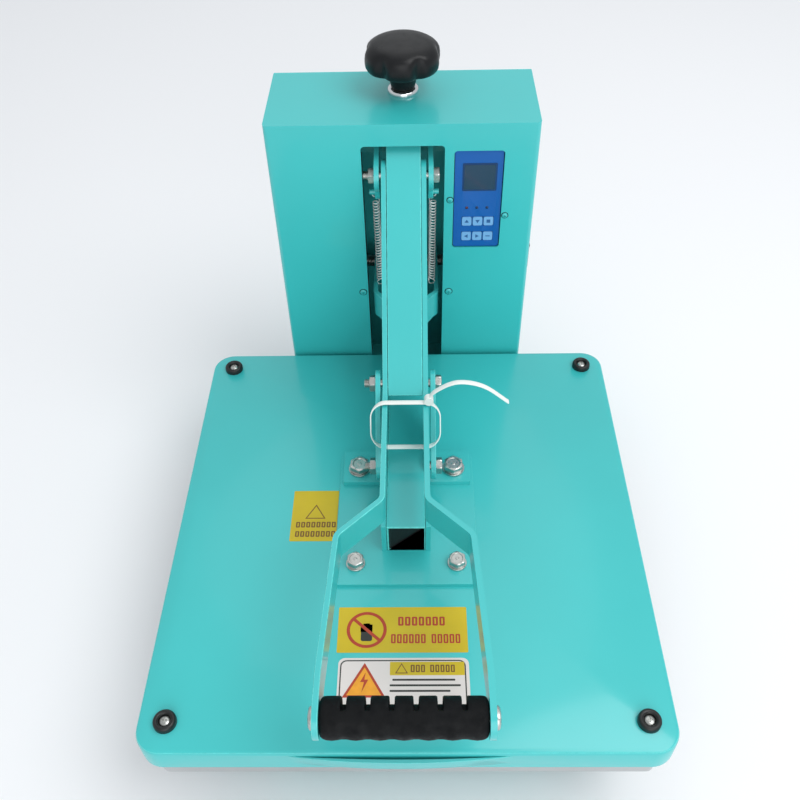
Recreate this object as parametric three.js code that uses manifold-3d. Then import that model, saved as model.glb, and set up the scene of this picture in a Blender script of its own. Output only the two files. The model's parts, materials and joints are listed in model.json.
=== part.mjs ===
// Clamshell heat press: a flat heated head on a swing arm, closed and locked by an over-centre toggle.
//
// Millimetres, +Z up, the operator stands at -Y. The sub-parts are laid out in the head's own
// coordinates: X to the right, Y backwards from the cover's front edge, Z up from the cover's top
// face, with the press closed. The finished group is then moved so that its origin lies at the
// centre of its footprint, on the table.

import * as THREE from 'three';
import { mergeVertices } from 'three/addons/utils/BufferGeometryUtils.js';
import Module from 'manifold-3d';

const wasm = await Module();
wasm.setup();

// ---------------------------------------------------------------- driving dimensions

const GAP = 0.3;                        // air between pieces that pass through or sit in each other
const FLOOR_Z = -120;                   // table top under the rubber feet

const COVER = { width: 400, depth: 422, skirt: 24, corner: 20, edge: 3, sheet: 2 };
const PLATEN = { inset: 10, top: -22, bottom: -40 };
const PAD_BOTTOM = -48;
const TABLE_BOTTOM = -58;
const FRAME = { top: -78, bottom: -108, halfWidth: 117, rail: 40, front: 45, wall: 3 };
const CASE = { left: -119.5, right: 117.5, front: 426.4, back: 522.4, top: 259, sheet: 2, corner: 4 };
const SLOT = { left: -37, right: 36, bottom: -20, top: 238.5, corner: 3.5 };
const UPRIGHT = { inner: 42, outer: 47, front: 433, back: 518, top: 248 };

// Toggle linkage, as [Y, Z] of its four pivots in the closed press.
const PIVOT_A = [430, 208];             // lever on the adjuster clevis
const PIVOT_B = [297.5, 80];            // lever to links
const PIVOT_C = [242, 32.5];            // links to swing arm
const PIVOT_D = [500, 62];              // swing arm on the uprights
const SCREW_Y = 486;                    // axis of the pressure screw, on X = 0

const LEVER = { inner: 15.4, thick: 4.4, height: 28 };
const TUBE = { half: 15, wall: 2, beyondA: 21.7, beyondB: 11.2 };
const GRIP = { y: -6, z: 72, radius: 14.2, half: 55.3, segments: 7, bore: 6.4 };
const LINK = { inner: 21.8, outer: 26.2, width: 24 };
const ARM = { half: 16.2, wall: 1.8, front: 172, back: 424, bottom: 4, top: 37 };
const YOKE = { inner: 16.45, thick: 4.1, top: 38 };
const MOUNT_PLATE = { half: 60, front: 139, back: 279, top: 4 };
const FOOT_PLATE = { outer: 57, front: 243, back: 279, top: 9 };
const FOOT = { x: 97, front: 65, rear: 500 };
const HEAD_BOLTS = { x: 42.5, rear: 258, front: 159, depth: -34 };
const PANEL = { left: 45, right: 87.4, bottom: 132, top: 232.5, front: 428, back: 456 };
const KEYS = { x: [57.2, 67.2, 77.2], z: [160, 143.6], width: 8.7, height: 9.2 };
const SWITCH = { y: 452, z: 110 };
const INLET = { x: -75, z: -30 };

const COLOURS = {
  teal: [0x46c8c8, 0.35, 0.0], steel: [0xb9bcbf, 0.35, 0.9], dark: [0x17181a, 0.75, 0.0],
  aluminium: [0xc4c7c9, 0.45, 0.9], silicone: [0xd9dad6, 0.8, 0.0], wool: [0xe6e0cc, 1.0, 0.0],
  blue: [0x186ec3, 0.4, 0.0], screen: [0x2d4164, 0.15, 0.0], key: [0x82b4e1, 0.45, 0.0],
  nylon: [0xf2f2ee, 0.45, 0.0], black: [0x2d2d2d, 0.4, 0.0], grey: [0x8c9094, 0.5, 0.0],
};

// ---------------------------------------------------------------- solids from three.js geometry

// A closed solid from a three.js geometry, with its faces pointing out.
function solid(geometry) {
  geometry.deleteAttribute('normal');
  geometry.deleteAttribute('uv');
  const merged = mergeVertices(geometry, 1e-4);
  const corners = merged.index.array;
  const triangles = [];
  for (let i = 0; i < corners.length; i += 3) {
    const [a, b, c] = corners.slice(i, i + 3);
    if (a !== b && b !== c && c !== a) triangles.push([a, b, c]);
  }
  const body = (faces) => new wasm.Manifold(new wasm.Mesh({
    numProp: 3,
    vertProperties: new Float32Array(merged.attributes.position.array),
    triVerts: new Uint32Array(faces.flat()),
  }));
  const made = body(triangles);
  return made.volume() > 0 ? made : body(triangles.map(([a, b, c]) => [a, c, b]));
}

const join = (first, ...others) => others.reduce((whole, piece) => whole.add(piece), first);
const cut = (first, ...others) => others.reduce((whole, piece) => whole.subtract(piece), first);

function box([x0, x1], [y0, y1], [z0, z1]) {
  const block = new THREE.BoxGeometry(x1 - x0, y1 - y0, z1 - z0);
  return solid(block.translate((x0 + x1) / 2, (y0 + y1) / 2, (z0 + z1) / 2));
}

// Cylinders along each axis; `at` holds the two other coordinates.
function rodX(radius, [x0, x1], at, sides = 20) {
  const rod = new THREE.CylinderGeometry(radius, radius, x1 - x0, sides).rotateZ(Math.PI / 2);
  return solid(rod.translate((x0 + x1) / 2, at[0], at[1]));
}

function rodZ(radius, [z0, z1], at, sides = 20) {
  const rod = new THREE.CylinderGeometry(radius, radius, z1 - z0, sides).rotateX(Math.PI / 2);
  return solid(rod.translate(at[0], at[1], (z0 + z1) / 2));
}

// Outlines pushed along an axis: (Y, Z) outlines along X, (X, Z) along Y, (X, Y) along Z.
function extruded(outline, depth, options = {}) {
  return new THREE.ExtrudeGeometry(outline, { depth, bevelEnabled: false, curveSegments: 5, ...options });
}

function prismX(outline, [x0, x1]) {
  const yzx = new THREE.Matrix4().makeBasis(
    new THREE.Vector3(0, 1, 0), new THREE.Vector3(0, 0, 1), new THREE.Vector3(1, 0, 0));
  return solid(extruded(outline, x1 - x0).translate(0, 0, x0).applyMatrix4(yzx));
}

function prismY(outline, [y0, y1]) {
  return solid(extruded(outline, y1 - y0).translate(0, 0, -y1).rotateX(Math.PI / 2));
}

function prismZ(outline, [z0, z1]) {
  return solid(extruded(outline, z1 - z0).translate(0, 0, z0));
}

// A profile of [radius, height] points turned about a vertical axis.
function turned(profile, at = [0, 0], sides = 24) {
  const points = profile.map(([radius, height]) => new THREE.Vector2(radius, height));
  return solid(new THREE.LatheGeometry(points, sides).rotateX(Math.PI / 2).translate(at[0], at[1], 0));
}

// ---------------------------------------------------------------- outlines

function rectangle([x0, x1], [y0, y1], corner = 0) {
  const outline = new THREE.Shape();
  if (corner === 0) {
    return new THREE.Shape([[x0, y0], [x1, y0], [x1, y1], [x0, y1]].map(([x, y]) => new THREE.Vector2(x, y)));
  }
  outline.absarc(x0 + corner, y0 + corner, corner, Math.PI, 1.5 * Math.PI);
  outline.absarc(x1 - corner, y0 + corner, corner, 1.5 * Math.PI, 2 * Math.PI);
  outline.absarc(x1 - corner, y1 - corner, corner, 0, 0.5 * Math.PI);
  outline.absarc(x0 + corner, y1 - corner, corner, 0.5 * Math.PI, Math.PI);
  return outline;
}

function polygon(points) {
  return new THREE.Shape(points.map(([x, y]) => new THREE.Vector2(x, y)));
}

// Corners of a route replaced by short curves that start `bend` before each corner.
function filleted(route, bend) {
  const points = route.map(([x, y]) => new THREE.Vector2(x, y));
  const smooth = [points[0]];
  for (let i = 1; i < points.length - 1; i += 1) {
    const towards = (other) => other.clone().sub(points[i]).setLength(bend).add(points[i]);
    const corner = new THREE.QuadraticBezierCurve(towards(points[i - 1]), points[i], towards(points[i + 1]));
    smooth.push(...corner.getPoints(4));
  }
  return [...smooth, points[points.length - 1]];
}

// The outline of a band of even width that follows a route, with square or round ends.
function band(route, width, { bend = 1, round = false } = {}) {
  const line = filleted(route, bend);
  const half = width / 2;
  const heading = line.slice(1).map((point, i) => point.clone().sub(line[i]).normalize());
  const offset = (side) => line.map((point, i) => {
    const before = heading[Math.max(i - 1, 0)];
    const after = heading[Math.min(i, heading.length - 1)];
    const along = before.clone().add(after).normalize();
    const reach = (side * half) / along.dot(before);
    return new THREE.Vector2(point.x - along.y * reach, point.y + along.x * reach);
  });
  const endCap = (centre, direction) => {
    const start = Math.atan2(direction.y, direction.x) + Math.PI / 2;
    return [1, 2, 3, 4, 5, 6, 7].map((step) => {
      const angle = start - (step * Math.PI) / 8;
      return new THREE.Vector2(centre.x + half * Math.cos(angle), centre.y + half * Math.sin(angle));
    });
  };
  const last = line.length - 1;
  const front = round ? endCap(line[last], heading[last - 1]) : [];
  const back = round ? endCap(line[0], heading[0].clone().negate()) : [];
  return new THREE.Shape([...offset(1), ...front, ...offset(-1).reverse(), ...back].reverse());
}

// ---------------------------------------------------------------- fasteners

// A hexagon head or nut whose flats are `across` apart, along X.
const hexX = (across, span, at) => rodX(across / Math.sqrt(3), span, at, 6);

// A stub bolt along X on the given side (+1 right, -1 left): the right one shows its head, and the
// left one shows a nut with a thread end.
function sideBolt(side, pivot, from, radius = 4, across = 13) {
  const seat = LINK.outer + GAP;
  const end = side > 0 ? seat + 5 : seat + 10;
  const span = (a, b) => (side > 0 ? [a, b] : [-b, -a]);
  return join(
    rodX(radius, span(from, end), pivot),
    hexX(across, span(seat, seat + 5.3), pivot));
}

// A hexagon head with a washer standing on `seat`, its shank running down into the heated platen.
function headBolt(x, y, seat, thread, across, washer) {
  const headHeight = 6.2;
  const washerThickness = 2;
  const head = seat + washerThickness;
  return join(
    rodZ(washer / 2, [seat, head], [x, y]),
    rodZ(across / Math.sqrt(3), [head, head + headHeight], [x, y], 6),
    rodZ(thread / 2, [HEAD_BOLTS.depth, head], [x, y], 16));
}

const boltHoles = (span, thread, y) => [-1, 1].map(
  (side) => rodZ(thread / 2 + GAP, span, [side * HEAD_BOLTS.x, y], 16));

// ---------------------------------------------------------------- base and lower table

function baseFrame() {
  const { top, bottom, halfWidth, rail, front, wall } = FRAME;
  const back = CASE.back + CASE.sheet;
  const crossMembers = [[front, front + rail], [200, 200 + rail], [CASE.front - rail, CASE.front]];
  const tableBars = crossMembers.map(
    ([start]) => box([-160, 160], [start + 5, start + 27], [top - 1, TABLE_BOTTOM]));
  const outer = join(
    box([-halfWidth, halfWidth], [front, back], [bottom, top]),
    ...tableBars);
  const windows = [0, 1].map((bay) => box(
    [rail - halfWidth, halfWidth - rail], [crossMembers[bay][1], crossMembers[bay + 1][0]],
    [bottom - 1, top + 1]));
  // The frame is bent from sheet: each rail is hollow from below, except at the four feet.
  const hollow = (x, y) => box(x, y, [bottom - 1, top - wall]);
  const railHollows = [-1, 1].map((side) => {
    const edges = [side * (halfWidth - wall), side * (halfWidth - rail + wall)].sort((a, b) => a - b);
    return hollow(edges, [front + 40, back - 60]);
  });
  const crossHollows = crossMembers.slice(0, 2).map(
    ([start, end]) => hollow([rail - halfWidth, halfWidth - rail], [start + wall, end - wall]));
  const rearHollow = hollow(
    [rail - halfWidth, halfWidth - rail], [crossMembers[2][0] + wall, back - wall]);
  return cut(outer, ...windows, ...railHollows, ...crossHollows, rearHollow);
}

function foot(x, y) {
  const profile = [[0, FLOOR_Z], [13, FLOOR_Z], [15, FLOOR_Z + 3], [15, FRAME.bottom], [0, FRAME.bottom]];
  return turned(profile, [x, y], 20);
}

const platenOutline = () => rectangle(
  [-COVER.width / 2 + PLATEN.inset, COVER.width / 2 - PLATEN.inset],
  [PLATEN.inset, COVER.depth - PLATEN.inset], 6);

const lowerPlaten = () => prismZ(platenOutline(), [TABLE_BOTTOM, PAD_BOTTOM]);
const siliconePad = () => prismZ(platenOutline(), [PAD_BOTTOM, PLATEN.bottom - GAP]);

// ---------------------------------------------------------------- rear case

function upright(side) {
  const span = [side * UPRIGHT.inner, side * UPRIGHT.outer].sort((a, b) => a - b);
  return cut(
    box(span, [UPRIGHT.front, UPRIGHT.back], [FRAME.top, UPRIGHT.top]),
    rodX(6 + GAP, [-60, 60], PIVOT_D));
}

const BRIDGE_TOP = UPRIGHT.top + 8;

function topBridge() {
  return cut(
    box([-UPRIGHT.outer, UPRIGHT.outer], [455, UPRIGHT.back], [UPRIGHT.top, BRIDGE_TOP]),
    rodZ(8 + GAP, [UPRIGHT.top - 1, BRIDGE_TOP + 1], [0, SCREW_Y]));
}

function caseShell() {
  const { left, right, front, back, top, sheet, corner } = CASE;
  const outer = prismZ(rectangle([left, right], [front, back + 10], corner), [FRAME.top, top]);
  const inner = prismZ(rectangle([left + sheet, right - sheet], [front + sheet, back + 20], corner - sheet),
    [FRAME.top - 1, top - sheet]);
  const beyond = box([left - 1, right + 1], [back, back + 30], [FRAME.top - 2, top + 1]);
  const slot = prismY(rectangle([SLOT.left, SLOT.right], [SLOT.bottom, SLOT.top], SLOT.corner),
    [front - 1, front + sheet + 1]);
  const window = prismY(panelOutline(0.7), [front - 1, front + sheet + 1]);
  const screwHole = rodZ(11.1, [top - sheet - 1, top + 1], [0, SCREW_Y]);
  const switchHole = box(
    [right - sheet - 1, right + 1], [SWITCH.y - 7.5, SWITCH.y + 7.5], [SWITCH.z - 11, SWITCH.z + 11]);
  return cut(outer, inner, beyond, slot, window, screwHole, switchHole);
}

function rearPanel() {
  const { left, right, back, top, sheet } = CASE;
  const plate = box([left, right], [back, back + sheet], [FRAME.top, top]);
  const inletHole = box(
    [INLET.x - 14.5, INLET.x + 14.5], [back - 1, back + sheet + 1], [INLET.z - 11, INLET.z + 11]);
  const louvres = [0, 1, 2, 3, 4, 5].map((row) => {
    const z = 150 + row * 12;
    return box([58, 104], [back - 1, back + sheet + 1], [z, z + 4]);
  });
  return cut(plate, inletHole, ...louvres);
}

function screwBushing() {
  const bore = 8 + GAP;
  return turned([
    [bore, BRIDGE_TOP + GAP], [10.8, BRIDGE_TOP + GAP], [10.8, CASE.top], [14, CASE.top],
    [14, CASE.top + 3], [11.5, CASE.top + 5], [bore, CASE.top + 5], [bore, BRIDGE_TOP + GAP],
  ], [0, SCREW_Y]);
}

function mainPivotBolt() {
  return join(
    rodX(6, [-60, 52], PIVOT_D),
    hexX(19, [UPRIGHT.outer + GAP, 56], PIVOT_D),
    hexX(19, [-57, -UPRIGHT.outer - GAP], PIVOT_D));
}

const relay = () => join(
  box([UPRIGHT.outer, UPRIGHT.outer + 22], [462, 510], [110, 148]),
  box([UPRIGHT.outer, UPRIGHT.outer + 4], [458, 514], [116, 142]));

// C14 appliance inlet: flange outside the rear panel, socket with three pins behind it.
function powerInlet() {
  const { x, z } = INLET;
  const face = CASE.back + CASE.sheet;
  const mouth = face + 2.6;
  const body = join(
    box([x - 14, x + 14], [face - 24, mouth], [z - 10.5, z + 10.5]),
    box([x - 24, x + 24], [face, mouth], [z - 13, z + 13]));
  const socket = box([x - 12, x + 12], [mouth - 18, mouth + 1], [z - 8, z + 8]);
  const pins = [[-7, -2], [0, 2], [7, -2]].map(
    ([dx, dz]) => box([x + dx - 1, x + dx + 1], [mouth - 19, mouth - 5], [z + dz - 2, z + dz + 2]));
  return join(cut(body, socket), ...pins);
}

// ---------------------------------------------------------------- controller and switch

const LCD = { left: 53.6, right: 81, bottom: 193.9, top: 218.7, thick: 1.5 };

// The controller's face, grown by a clearance for the window that it sits in.
function panelOutline(grow) {
  return rectangle(
    [PANEL.left - grow, PANEL.right + grow], [PANEL.bottom - grow, PANEL.top + grow], 2.5 + grow);
}

function controllerBody() {
  const { left, right, bottom, top, front, back } = PANEL;
  const faceBack = UPRIGHT.front - 1;
  const inner = UPRIGHT.outer + 1;
  const shell = join(
    prismY(panelOutline(0), [front, faceBack]),
    box([inner, right], [front + 2, back], [bottom, top]));
  const hollow = box([inner + 2, right - 2], [faceBack, back + 1], [bottom + 2, top - 2]);
  const lcdRecess = box([LCD.left - GAP, LCD.right + GAP], [front - 1, front + LCD.thick + GAP],
    [LCD.bottom - GAP, LCD.top + GAP]);
  const keyPockets = KEYS.z.flatMap((z) => KEYS.x.map((x) => box(
    [x - KEYS.width / 2 - GAP, x + KEYS.width / 2 + GAP], [front - 1, front + 2.4],
    [z - KEYS.height / 2 - GAP, z + KEYS.height / 2 + GAP])));
  return cut(shell, hollow, lcdRecess, ...keyPockets);
}

const lcdWindow = () => box(
  [LCD.left, LCD.right], [PANEL.front, PANEL.front + LCD.thick], [LCD.bottom, LCD.top]);

const key = (x, z) => box(
  [x - KEYS.width / 2, x + KEYS.width / 2], [PANEL.front - 0.4, PANEL.front + 1.6],
  [z - KEYS.height / 2, z + KEYS.height / 2]);

function switchBezel() {
  const { y, z } = SWITCH;
  const wall = CASE.right;
  const body = join(
    box([wall, wall + 2], [y - 10, y + 10], [z - 14, z + 14]),
    box([wall - 14, wall], [y - 7.2, y + 7.2], [z - 10.7, z + 10.7]));
  return cut(body, box([wall - 12, wall + 3], [y - 5.7, y + 5.7], [z - 9.3, z + 9.3]));
}

// Rocker tilted to its off side; it turns about a crosswise pin just inside the case wall.
function powerRocker() {
  const { y, z } = SWITCH;
  const pin = CASE.right - 3;
  const outline = polygon(
    [[-5, -8.2], [2.4, -8.6], [5.6, -8.6], [4.4, 0], [5.6, 8.6], [2.4, 8.6], [-5, 8.2]]);
  const tilted = extruded(outline, 10.6).translate(0, 0, -5.3).rotateX(Math.PI / 2)
    .rotateY(THREE.MathUtils.degToRad(6));
  return solid(tilted.translate(pin, y, z));
}

// ---------------------------------------------------------------- pressure adjuster and knob

function adjusterClevis() {
  const plates = [-1, 1].map((side) => {
    const span = [side * LINK.inner, side * LINK.outer].sort((a, b) => a - b);
    const pinSpan = [side * LINK.inner, side * (LINK.outer + 5)].sort((a, b) => a - b);
    return join(
      prismX(band([PIVOT_A, [480, 223]], 28, { round: true }), span),
      prismX(band([PIVOT_A, SPRING.top], 13, { round: true }), span),
      rodX(2.5, pinSpan, SPRING.top, 16));
  });
  const block = box([-41.5, 41.5], [470, 502], [208, 238]);
  return cut(
    join(block, ...plates),
    rodZ(8 + GAP, [200, 240], [0, SCREW_Y]),
    rodX(4 + GAP, [-40, 40], PIVOT_A));
}

function adjusterPivotBolt() {
  return join(sideBolt(1, PIVOT_A, 0), sideBolt(-1, PIVOT_A, 0));
}

const KNOB = { hubBottom: 264.3, rim: 281, shoulder: 299, top: 305, bore: 290 };

// Six-lobed knob with a smooth domed top on a round hub, with a blind bore for the screw.
function pressureKnob() {
  const lobes = 6;
  const edge = 2.5;
  const points = Array.from({ length: lobes * 8 }, (_, i) => {
    const angle = (i / (lobes * 8)) * 2 * Math.PI;
    const radius = 32.2 + 1.6 * Math.cos(lobes * angle);
    return [radius * Math.cos(angle), radius * Math.sin(angle)];
  });
  const rim = extruded(polygon(points), KNOB.shoulder - KNOB.rim - 2 * edge, {
    bevelEnabled: true, bevelThickness: edge, bevelSize: edge, bevelOffset: -edge, bevelSegments: 2,
  });
  const dome = [
    [0, KNOB.bore + 4], [28, KNOB.bore + 4], [28, KNOB.shoulder], [26.5, KNOB.top - 3],
    [22, KNOB.top - 1], [12, KNOB.top - 0.2], [0, KNOB.top],
  ];
  const hub = [[0, KNOB.hubBottom], [10.8, KNOB.hubBottom], [16, KNOB.rim + 1], [0, KNOB.rim + 1]];
  return cut(
    join(
      solid(rim.translate(0, SCREW_Y, KNOB.rim + edge)),
      turned(dome, [0, SCREW_Y]),
      turned(hub, [0, SCREW_Y])),
    rodZ(8 + GAP, [KNOB.hubBottom - 1, KNOB.bore], [0, SCREW_Y]));
}

const pressureScrew = () => rodZ(8, [196, KNOB.bore - GAP], [0, SCREW_Y]);

// ---------------------------------------------------------------- lever, grip and cable tie

// One side plate of the lever: its plan bends out to the grip, and its side view bends at the knee.
function leverPlate(side) {
  const middle = LEVER.inner + LEVER.thick / 2;
  const route = [[middle, 460], [middle, 165], [51.8, 131], [57.8, 20], [57.8, -30]];
  const plan = band(route, LEVER.thick, { bend: 4 });
  const elevation = band([PIVOT_A, [289, GRIP.z], [GRIP.y, GRIP.z]], LEVER.height, { bend: 12, round: true });
  const plate = cut(
    prismZ(plan, [40, 240]).intersect(prismX(elevation, [10, 70])),
    rodX(4.5 + GAP, [0, 40], PIVOT_A),
    rodX(6 + GAP, [0, 40], PIVOT_B),
    rodX(6 + GAP, [40, 80], [GRIP.y, GRIP.z]));
  return side > 0 ? plate : plate.mirror([1, 0, 0]);
}

// Square tube between the plates, with the cross bush of pivot B welded through it.
function leverTube() {
  const { half, wall, beyondA, beyondB } = TUBE;
  const run = [PIVOT_A[0] - PIVOT_B[0], PIVOT_A[1] - PIVOT_B[1]];
  const length = Math.hypot(...run);
  const alongLever = (size, start, end) => {
    const block = new THREE.BoxGeometry(2 * size, end - start, 2 * size).translate(0, (start + end) / 2, 0);
    return solid(block.rotateX(Math.atan2(run[1], run[0])).translate(0, PIVOT_B[0], PIVOT_B[1]));
  };
  return join(
    cut(
      alongLever(half, -beyondB, length + beyondA),
      alongLever(half - wall, wall - beyondB, length + beyondA + 1),
      rodX(4.5 + GAP, [-40, 40], PIVOT_A)),
    rodX(6, [-LEVER.inner - LEVER.thick, LEVER.inner + LEVER.thick], PIVOT_B));
}

const gripRod = () => join(
  rodX(6, [-GRIP.half - 8, GRIP.half + 8], [GRIP.y, GRIP.z], 20),
  rodX(8, [GRIP.half + 5, GRIP.half + 8], [GRIP.y, GRIP.z], 20),
  rodX(8, [-GRIP.half - 8, -GRIP.half - 5], [GRIP.y, GRIP.z], 20));

// Rubber sleeve with a groove between its segments.
function handleGrip() {
  const { radius, half, segments, bore } = GRIP;
  const groove = 1.2;
  const pitch = (2 * half) / segments;
  const profile = [[bore, -half], [radius - groove, -half]];
  for (let i = 0; i < segments; i += 1) {
    const start = -half + i * pitch;
    profile.push([radius, start + 2], [radius, start + pitch - 2], [radius - groove, start + pitch]);
  }
  profile.push([bore, half], [bore, -half]);
  const points = profile.map(([r, along]) => new THREE.Vector2(r, along));
  const sleeve = new THREE.LatheGeometry(points, 16).rotateZ(Math.PI / 2);
  return solid(sleeve.translate(0, GRIP.y, GRIP.z));
}

// Nylon tie drawn loosely around both side plates, with its tail standing out to the right.
function cableTie() {
  const low = [243, 56.4];
  const high = [262, 88.4];
  const tilt = Math.atan2(high[1] - low[1], high[0] - low[0]);
  const rise = Math.hypot(high[0] - low[0], high[1] - low[1]);
  const width = 4.6;
  const thick = 1.3;
  const ring = (grow) => rectangle([-29 - grow, 29 + grow], [-grow, rise + grow], 6 + grow);
  const loop = cut(
    solid(extruded(ring(thick), width).translate(0, 0, -width / 2)),
    solid(extruded(ring(0), width + 2).translate(0, 0, -width / 2 - 1)),
  );
  const head = solid(new THREE.BoxGeometry(8, 5, 6.5).translate(20, rise + 3, 0));
  const tilted = join(loop, head).rotate([(tilt * 180) / Math.PI, 0, 0]).translate([0, low[0], low[1]]);
  const [y, z] = high;
  const tailRoute = [[20, z + 3], [29, z + 17], [46, z + 24], [66, z + 18], [88, z]];
  return join(tilted, prismY(band(tailRoute, thick, { bend: 9 }), [y - width / 2, y + width / 2]));
}

// ---------------------------------------------------------------- links and springs

function link(side) {
  const span = [side * LINK.inner, side * LINK.outer].sort((a, b) => a - b);
  return cut(
    prismX(band([PIVOT_B, PIVOT_C], LINK.width, { round: true }), span),
    rodX(4 + GAP, [-40, 40], PIVOT_B),
    rodX(4 + GAP, [-40, 40], PIVOT_C));
}

const SPRING = { x: 25.8, radius: 3.5, top: [432, 190], bottom: [447, 73], reach: 7.5 };

// Return spring between its pin on the clevis and the hole in the yoke, as its outer cylinder.
function returnSpring(side) {
  const { x, radius, top, bottom, reach } = SPRING;
  const run = [top[0] - bottom[0], top[1] - bottom[1]];
  const length = Math.hypot(...run) - 2 * reach;
  const coil = new THREE.CylinderGeometry(radius, radius, length, 12).rotateX(Math.atan2(run[1], run[0]));
  return solid(coil.translate(side * x, (top[0] + bottom[0]) / 2, (top[1] + bottom[1]) / 2));
}

// ---------------------------------------------------------------- swing arm and heated head

function armTube() {
  const { half, wall, front, back, bottom, top } = ARM;
  return cut(
    box([-half, half], [front, back], [bottom, top]),
    box([wall - half, half - wall], [front - 1, back + 1], [bottom + wall, top - wall]));
}

function armEndCap() {
  const { half, wall, front, bottom, top } = ARM;
  const inset = wall + GAP;
  return cut(
    box([inset - half, half - inset], [front + 1, front + 12], [bottom + inset, top - inset]),
    box([inset + 2 - half, half - inset - 2], [front + 4, front + 13],
      [bottom + inset + 2, top - inset - 2]));
}

// Side plate of the arm, bent out to the main pivot, with the foot that bolts it to the head.
function yoke(side) {
  const middle = YOKE.inner + YOKE.thick / 2;
  const route = [[middle, ARM.front], [middle, 419], [30.2, 430.7], [30.2, 520]];
  const plan = band(route, YOKE.thick, { bend: 3 });
  const tail = 14;
  const outline = polygon([[ARM.front, ARM.bottom], [345, ARM.bottom], [425, PIVOT_D[1] - tail],
    [PIVOT_D[0], PIVOT_D[1] - tail], [PIVOT_D[0], PIVOT_D[1] + tail], [425, PIVOT_D[1] + tail],
    [345, YOKE.top], [ARM.front, YOKE.top]]);
  const elevation = join(
    prismX(outline, [10, 40]),
    rodX(tail, [10, 40], PIVOT_D, 28),
    rodX(13, [10, 40], PIVOT_C, 28));
  const footPlate = box([middle, FOOT_PLATE.outer], [FOOT_PLATE.front, FOOT_PLATE.back],
    [MOUNT_PLATE.top, FOOT_PLATE.top]);
  const plate = cut(
    join(prismZ(plan, [0, 90]).intersect(elevation), footPlate),
    rodX(4 + GAP, [0, 40], PIVOT_C),
    rodX(6 + GAP, [0, 40], PIVOT_D),
    rodX(1.6, [20, 40], [SPRING.bottom[0], PIVOT_D[1] + tail - 4], 12),
    ...boltHoles([0, 20], 10, HEAD_BOLTS.rear));
  return side > 0 ? plate : plate.mirror([1, 0, 0]);
}

function mountPlate() {
  const { half, front, back, top } = MOUNT_PLATE;
  return cut(
    prismZ(rectangle([-half, half], [front, back], 4), [0, top]),
    ...boltHoles([-1, top + 1], 10, HEAD_BOLTS.rear),
    ...boltHoles([-1, top + 1], 8, HEAD_BOLTS.front));
}

// Crescent finger lip on the front skirt, with a narrow pocket behind it that is open at the top.
const LIP = { centre: -4, half: 82, bulge: 5, wall: 2.8, top: -4.5, floor: -12, bottom: -15 };

function crescent(half, bulge) {
  const radius = (half * half + bulge * bulge) / (2 * bulge);
  const angle = Math.asin(half / radius);
  const outline = new THREE.Shape();
  outline.absarc(LIP.centre, radius - bulge, radius, 1.5 * Math.PI - angle, 1.5 * Math.PI + angle);
  outline.lineTo(LIP.centre + half, 1);
  outline.lineTo(LIP.centre - half, 1);
  return outline;
}

function cover() {
  const { width, depth, skirt, corner, edge, sheet } = COVER;
  const plan = (inset, radius) => rectangle(
    [inset - width / 2, width / 2 - inset], [inset, depth - inset], radius);
  const block = extruded(plan(0, corner), skirt + 6, {
    bevelEnabled: true, bevelThickness: edge, bevelSize: edge, bevelOffset: -edge, bevelSegments: 2,
  }).translate(0, 0, -skirt - 6 - edge);
  const below = box([-width, width], [-10, depth + 10], [-skirt - 20, -skirt]);
  const hollow = prismZ(plan(sheet, corner - sheet), [-skirt - 1, -sheet]);
  const shell = cut(solid(block), below, hollow);
  const lip = prismZ(crescent(LIP.half, LIP.bulge), [LIP.bottom, LIP.top]);
  const pocket = prismZ(crescent(LIP.half - 6, LIP.bulge - LIP.wall), [LIP.floor, 0])
    .intersect(box([-width, width], [-LIP.bulge, 0], [LIP.floor, LIP.top + 1]));
  return cut(
    join(shell, cut(lip, pocket)),
    ...boltHoles([-sheet - 1, 1], 10, HEAD_BOLTS.rear),
    ...boltHoles([-sheet - 1, 1], 8, HEAD_BOLTS.front));
}

function insulation() {
  const inset = 14;
  const half = COVER.width / 2 - inset;
  return cut(
    box([-half, half], [inset, COVER.depth - inset], [PLATEN.top, -COVER.sheet]),
    ...boltHoles([PLATEN.top - 1, 0], 10, HEAD_BOLTS.rear),
    ...boltHoles([PLATEN.top - 1, 0], 8, HEAD_BOLTS.front));
}

function heatingPlaten() {
  const blind = [HEAD_BOLTS.depth - 1, PLATEN.top + 1];
  return cut(
    prismZ(platenOutline(), [PLATEN.bottom, PLATEN.top]),
    ...boltHoles(blind, 10, HEAD_BOLTS.rear),
    ...boltHoles(blind, 8, HEAD_BOLTS.front));
}

const grommet = (x, y) => turned([
  [0, 0], [8.75, 0], [8.75, 3.6], [7.4, 5.6], [5.2, 5.6], [4.2, 3.4], [0, 3.4],
], [x, y], 16);

// ---------------------------------------------------------------- assembly

const press = new THREE.Group();

function place(name, body, colour) {
  const mesh = body.getMesh();
  const geometry = new THREE.BufferGeometry();
  geometry.setAttribute('position', new THREE.BufferAttribute(new Float32Array(mesh.vertProperties), 3));
  geometry.setIndex(new THREE.BufferAttribute(new Uint32Array(mesh.triVerts), 1));
  geometry.computeVertexNormals();
  const [color, roughness, metalness] = COLOURS[colour];
  const piece = new THREE.Mesh(geometry, new THREE.MeshStandardMaterial({ color, roughness, metalness }));
  piece.name = name;
  press.add(piece);
}

const SIDES = [['left', -1], ['right', 1]];

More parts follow.
